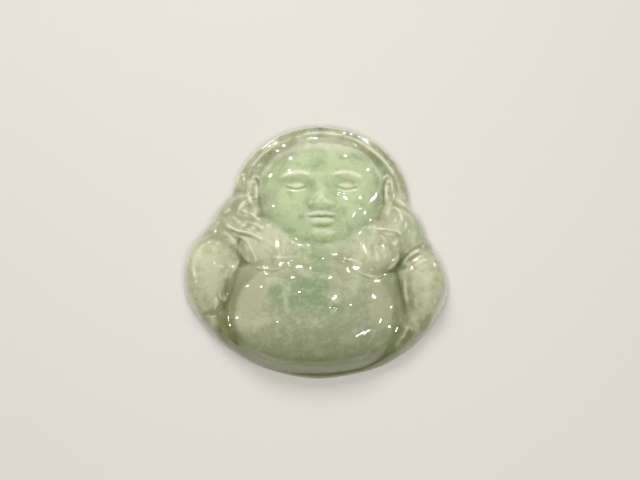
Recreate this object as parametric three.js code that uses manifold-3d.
// A carved jade pendant: a seated laughing Buddha in half relief, in one piece of stone.
// Millimetres, +Z up. It lies on its flat back, with the head towards +Y and the origin
// under the middle of its box.
import * as THREE from 'three';
import { mergeVertices } from 'three/addons/utils/BufferGeometryUtils.js';
import Module from 'manifold-3d';

// Driving dimensions, in millimetres.
const WIDTH = 46;
const THICKNESS = 8.6;
const BORE_DIAMETER = 1.3;

// Every place and size in the plane below is a fraction of half the width, and every height is
// a fraction of the thickness.
const HALF = WIDTH / 2;

// The outline: an arc round the hood, then splines down one side, under and up the other.
const HOOD = { x: 0.033, y: 0.361, across: 0.685, along: 0.6, from: -3, to: 175.5 };
const LEFT_SHOULDER = [[-0.702, 0.367], [-0.763, 0.281], [-0.807, 0.195]];
const LEFT_CUFF = [[-0.839, 0.156], [-0.861, 0.114]];
const LEFT_SLEEVE = [[-0.93, 0.044], [-0.983, -0.079], [-1.002, -0.22], [-0.983, -0.36]];
const LEFT_KNEE = [[-0.913, -0.496], [-0.774, -0.665], [-0.587, -0.804]];
const SEAT = [[-0.352, -0.916], [0.004, -0.981], [0.374, -0.927]];
const RIGHT_KNEE = [[0.613, -0.826], [0.796, -0.681], [0.926, -0.514]];
const RIGHT_SLEEVE = [[0.993, -0.342], [0.983, -0.193], [0.93, -0.066], [0.889, -0.004]];
const RIGHT_CUFF = [[0.876, 0.037], [0.848, 0.068]];
const RIGHT_SHOULDER = [[0.833, 0.136], [0.787, 0.237], [0.729, 0.287]];
const HOOD_SAMPLES = 180;
const SPLINE_SAMPLES = 24;

// The plate behind the figure, and how its edge is rounded.
const PLATE = 0.27;
const HOOD_RIM = { rise: 0.08, inset: 0.065, width: 0.048, above: 0.2 };
const EDGE_HEIGHT = 0.105;
const EDGE_WIDTH = 0.096;
const BACK_ROUND = 0.016;

// The carved masses: middle, half sizes (across, up and down from the middle), turn in degrees,
// height of the top, how square the plan is (2 is an ellipse), and how full the dome is (0.5 is
// an ellipsoid, and less has a flatter top and steeper sides). Most domes start below the back of
// the plate, so their walls meet the plate at a slant that a carver's wheel can cut.
const LEG = { foot: 0.1, top: 0.46, square: 2, full: 0.5, blend: 0.12 };
const SHOULDER = { foot: -0.1, top: 0.53, square: 2.5, full: 0.36, blend: 0.09 };
const LOBE = { foot: 0.4, top: 0.66, square: 2.2, full: 0.55, blend: 0.12 };
const SLEEVE = { foot: -0.1, top: 0.6, square: 2.3, full: 0.38, blend: 0.06 };
const MASSES = {
  leftLeg: { ...LEG, at: [-0.6, -0.63], half: [0.44, 0.17, 0.17], turn: -41 },
  rightLeg: { ...LEG, at: [0.65, -0.62], half: [0.42, 0.17, 0.17], turn: 42 },
  chest: {
    at: [0.03, -0.03], half: [0.62, 0.34, 0.24], turn: 0,
    foot: -0.1, top: 0.6, square: 2.5, full: 0.5, blend: 0.1,
  },
  leftShoulder: { ...SHOULDER, at: [-0.6, 0.2], half: [0.32, 0.21, 0.25], turn: 40 },
  rightShoulder: { ...SHOULDER, at: [0.66, 0.16], half: [0.34, 0.2, 0.24], turn: -58 },
  leftLobe: { ...LOBE, at: [-0.33, 0], half: [0.25, 0.24, 0.18], turn: -14 },
  rightLobe: { ...LOBE, at: [0.395, -0.035], half: [0.24, 0.25, 0.19], turn: 14 },
  leftSleeve: { ...SLEEVE, at: [-0.83, -0.19], half: [0.3, 0.37, 0.39], turn: -4 },
  rightSleeve: { ...SLEEVE, at: [0.84, -0.27], half: [0.25, 0.35, 0.38], turn: 6 },
  // The belly turns boxier and less full towards its upper end.
  belly: {
    at: [-0.012, -0.5], half: [0.715, 0.57, 0.445], turn: 0,
    foot: -0.1, top: 1, square: 2.3, full: 0.42, blend: 0.09,
    upper: { square: 2.9, full: 0.6 },
  },
  head: {
    at: [0.04, 0.445], half: [0.525, 0.415, 0.535], turn: 0,
    foot: -0.1, top: 0.86, square: 2.15, full: 0.38, blend: 0.07,
  },
};
const SKIRT_SLOPE = 8;

// The cord bore is drilled down from the top edge, and meets a hole drilled in from the back.
const BORE = { x: HOOD.x, turn: { y: 0.86, z: 0.14 }, entry: 1, past: 0.05 };
const BORE_SIDES = 20;

// Cells of the relief's grid along each side.
const GRID = 62;

function outlinePoints() {
  const arc = new THREE.Path();
  const start = THREE.MathUtils.degToRad(HOOD.from);
  const end = THREE.MathUtils.degToRad(HOOD.to);
  arc.absellipse(HOOD.x, HOOD.y, HOOD.across, HOOD.along, start, end, false);
  const points = arc.getSpacedPoints(HOOD_SAMPLES);
  const around = [...LEFT_SLEEVE, ...LEFT_KNEE, ...SEAT, ...RIGHT_KNEE, ...RIGHT_SLEEVE];
  for (const run of [LEFT_SHOULDER, LEFT_CUFF, around, RIGHT_CUFF, RIGHT_SHOULDER]) {
    const knots = run.map(([x, y]) => new THREE.Vector2(x, y));
    const spline = new THREE.SplineCurve([points[points.length - 1], ...knots]);
    points.push(...spline.getPoints(SPLINE_SAMPLES * knots.length).slice(1));
  }
  const box = new THREE.Box2().setFromPoints(points);
  const middle = box.getCenter(new THREE.Vector2());
  const toWidth = 2 / box.getSize(new THREE.Vector2()).x;
  return points.map((point) => point.sub(middle).multiplyScalar(toWidth));
}

const OUTLINE = outlinePoints();
const POLE = new THREE.Vector2(0, -0.05);

// How far the outline lies from the pole along a direction.
function outlineRadius(angle) {
  const ray = new THREE.Vector2(Math.cos(angle), Math.sin(angle));
  const sides = OUTLINE.map((point) => ray.cross(point.clone().sub(POLE)));
  const isCrossed = (side, i) => side <= 0 && sides[(i + 1) % sides.length] > 0;
  const found = sides.findIndex((side, i) => isCrossed(side, i) && ray.dot(OUTLINE[i]) > 0);
  const next = (found + 1) % sides.length;
  const share = sides[found] / (sides[found] - sides[next]);
  return ray.dot(OUTLINE[found].clone().lerp(OUTLINE[next], share).sub(POLE));
}

function smoothMax(a, b, soft) {
  const blend = THREE.MathUtils.clamp(0.5 + (0.5 * (a - b)) / soft, 0, 1);
  return b + (a - b) * blend + soft * blend * (1 - blend);
}

// Height of one mass: a dome, and a falling skirt outside it.
function domeHeight({ at, half, turn, foot, top, square, full, upper = { square, full } }, x, y) {
  const offset = new THREE.Vector2(x - at[0], y - at[1]);
  offset.rotateAround(new THREE.Vector2(), THREE.MathUtils.degToRad(-turn));
  const up = offset.y / half[1];
  const power = THREE.MathUtils.lerp(square, upper.square, THREE.MathUtils.smoothstep(up, 0, 0.6));
  const fullness = THREE.MathUtils.lerp(full, upper.full, THREE.MathUtils.smoothstep(up, 0, 0.8));
  const across = Math.abs(offset.x / half[0]) ** power;
  const along = Math.abs(up > 0 ? up : offset.y / half[2]) ** power;
  const reach = (across + along) ** (1 / power);
  if (reach >= 1) {
    return foot - SKIRT_SLOPE * (reach - 1) * Math.min(...half);
  }
  return foot + (top - foot) * (1 - reach * reach) ** fullness;
}

function plateHeight(x, y, inset) {
  const onHood = THREE.MathUtils.smoothstep(y, HOOD_RIM.above, HOOD_RIM.above + 0.1);
  const band = Math.exp(-(((inset - HOOD_RIM.inset) / HOOD_RIM.width) ** 2));
  return PLATE + HOOD_RIM.rise * onHood * band;
}

// Height of the carved front at a place that lies so far inside the outline.
function frontHeight(x, y, inset) {
  let height = plateHeight(x, y, inset);
  for (const mass of Object.values(MASSES)) {
    height = smoothMax(height, domeHeight(mass, x, y), mass.blend);
  }
  const toEdge = 1 - Math.min(inset / EDGE_WIDTH, 1);
  return EDGE_HEIGHT + (height - EDGE_HEIGHT) * Math.sqrt(1 - toEdge * toEdge);
}

// Where a corner of the square grid goes: rings of the square become rings of the outline.
function gridToAngle(a, b) {
  if (Math.abs(a) >= Math.abs(b)) {
    return (Math.PI / 4) * (b / a) + (a < 0 ? Math.PI : 0);
  }
  return Math.PI / 2 - (Math.PI / 4) * (a / b) + (b < 0 ? Math.PI : 0);
}

function carvedFront() {
  const geometry = new THREE.PlaneGeometry(2, 2, GRID, GRID);
  const position = geometry.attributes.position;
  for (let i = 0; i < position.count; i += 1) {
    const a = position.getX(i);
    const b = position.getY(i);
    const ring = Math.max(Math.abs(a), Math.abs(b));
    const angle = ring === 0 ? 0 : gridToAngle(a, b);
    const reach = outlineRadius(angle);
    const x = POLE.x + ring * reach * Math.cos(angle);
    const y = POLE.y + ring * reach * Math.sin(angle);
    position.setXYZ(i, x * HALF, y * HALF, frontHeight(x, y, (1 - ring) * reach) * THICKNESS);
  }
  return geometry;
}

// Indexes of the grid's border, anticlockwise from above.
function borderOf(grid) {
  const row = grid + 1;
  const border = [];
  for (let i = 0; i < grid; i += 1) border.push(grid * row + i);
  for (let i = 0; i < grid; i += 1) border.push((grid - i) * row + grid);
  for (let i = 0; i < grid; i += 1) border.push(grid - i);
  for (let i = 0; i < grid; i += 1) border.push(i * row);
  return border;
}

// The plaque before it is bored: the carved front, a narrow rounded wall and the flat back.
function plaqueGeometry() {
  const front = carvedFront();
  const border = borderOf(GRID);
  const vertices = [...front.attributes.position.array];
  const triangles = [...front.index.array];
  const firstBack = vertices.length / 3;
  const inward = 1 - BACK_ROUND;
  for (const i of border) {
    vertices.push(vertices[3 * i] * inward, vertices[3 * i + 1] * inward, 0);
  }
  const count = border.length;
  for (let i = 0; i < count; i += 1) {
    const next = (i + 1) % count;
    triangles.push(border[i], firstBack + i, border[next]);
    triangles.push(border[next], firstBack + i, firstBack + next);
  }
  const contour = border.map((_, i) => {
    const at = 3 * (firstBack + i);
    return new THREE.Vector2(vertices[at], vertices[at + 1]);
  });
  for (const [a, b, c] of THREE.ShapeUtils.triangulateShape(contour, [])) {
    triangles.push(firstBack + a, firstBack + c, firstBack + b);
  }
  const geometry = new THREE.BufferGeometry();
  geometry.setAttribute('position', new THREE.Float32BufferAttribute(vertices, 3));
  geometry.setIndex(triangles);
  return geometry;
}

// A drill along one axis, from its tip to past the surface.
function drill(tip, end) {
  const along = end.clone().sub(tip);
  const radius = BORE_DIAMETER / 2;
  const geometry = new THREE.CylinderGeometry(radius, radius, along.length(), BORE_SIDES);
  const turn = new THREE.Quaternion().setFromUnitVectors(new THREE.Vector3(0, 1, 0), along.normalize());
  geometry.applyQuaternion(turn);
  return geometry.translate(...tip.clone().add(end).divideScalar(2).toArray());
}

function boreDrills() {
  const turn = new THREE.Vector3(BORE.x * HALF, BORE.turn.y * HALF, BORE.turn.z * THICKNESS);
  const overTheEdge = new THREE.Vector3(turn.x, BORE.entry * HALF, turn.z);
  const behindTheBack = new THREE.Vector3(turn.x, turn.y, -BORE.past * THICKNESS);
  const tipPast = BORE_DIAMETER / 2;
  return [
    drill(turn.clone().setY(turn.y - tipPast), overTheEdge),
    drill(turn.clone().setZ(turn.z + tipPast / 2), behindTheBack),
  ];
}

function toSolid(wasm, geometry) {
  const bare = geometry.clone();
  bare.deleteAttribute('normal');
  bare.deleteAttribute('uv');
  const merged = mergeVertices(bare, 1e-4);
  const vertProperties = new Float32Array(merged.attributes.position.array);
  const triVerts = new Uint32Array(merged.index.array);
  return new wasm.Manifold(new wasm.Mesh({ numProp: 3, vertProperties, triVerts }));
}

function toGeometry(solid) {
  const mesh = solid.getMesh();
  const geometry = new THREE.BufferGeometry();
  geometry.setAttribute('position', new THREE.BufferAttribute(mesh.vertProperties, 3));
  geometry.setIndex(new THREE.BufferAttribute(mesh.triVerts, 1));
  geometry.computeVertexNormals();
  return geometry;
}

const wasm = await Module();
wasm.setup();

const jade = new THREE.MeshStandardMaterial({ color: 0xb4bb98, roughness: 0.15, metalness: 0 });
const blank = toSolid(wasm, plaqueGeometry());
const carving = boreDrills().reduce((solid, cutter) => solid.subtract(toSolid(wasm, cutter)), blank);
const pendant = new THREE.Mesh(toGeometry(carving), jade);
pendant.name = 'jade_buddha_pendant';

const group = new THREE.Group();
group.add(pendant);

export default group;
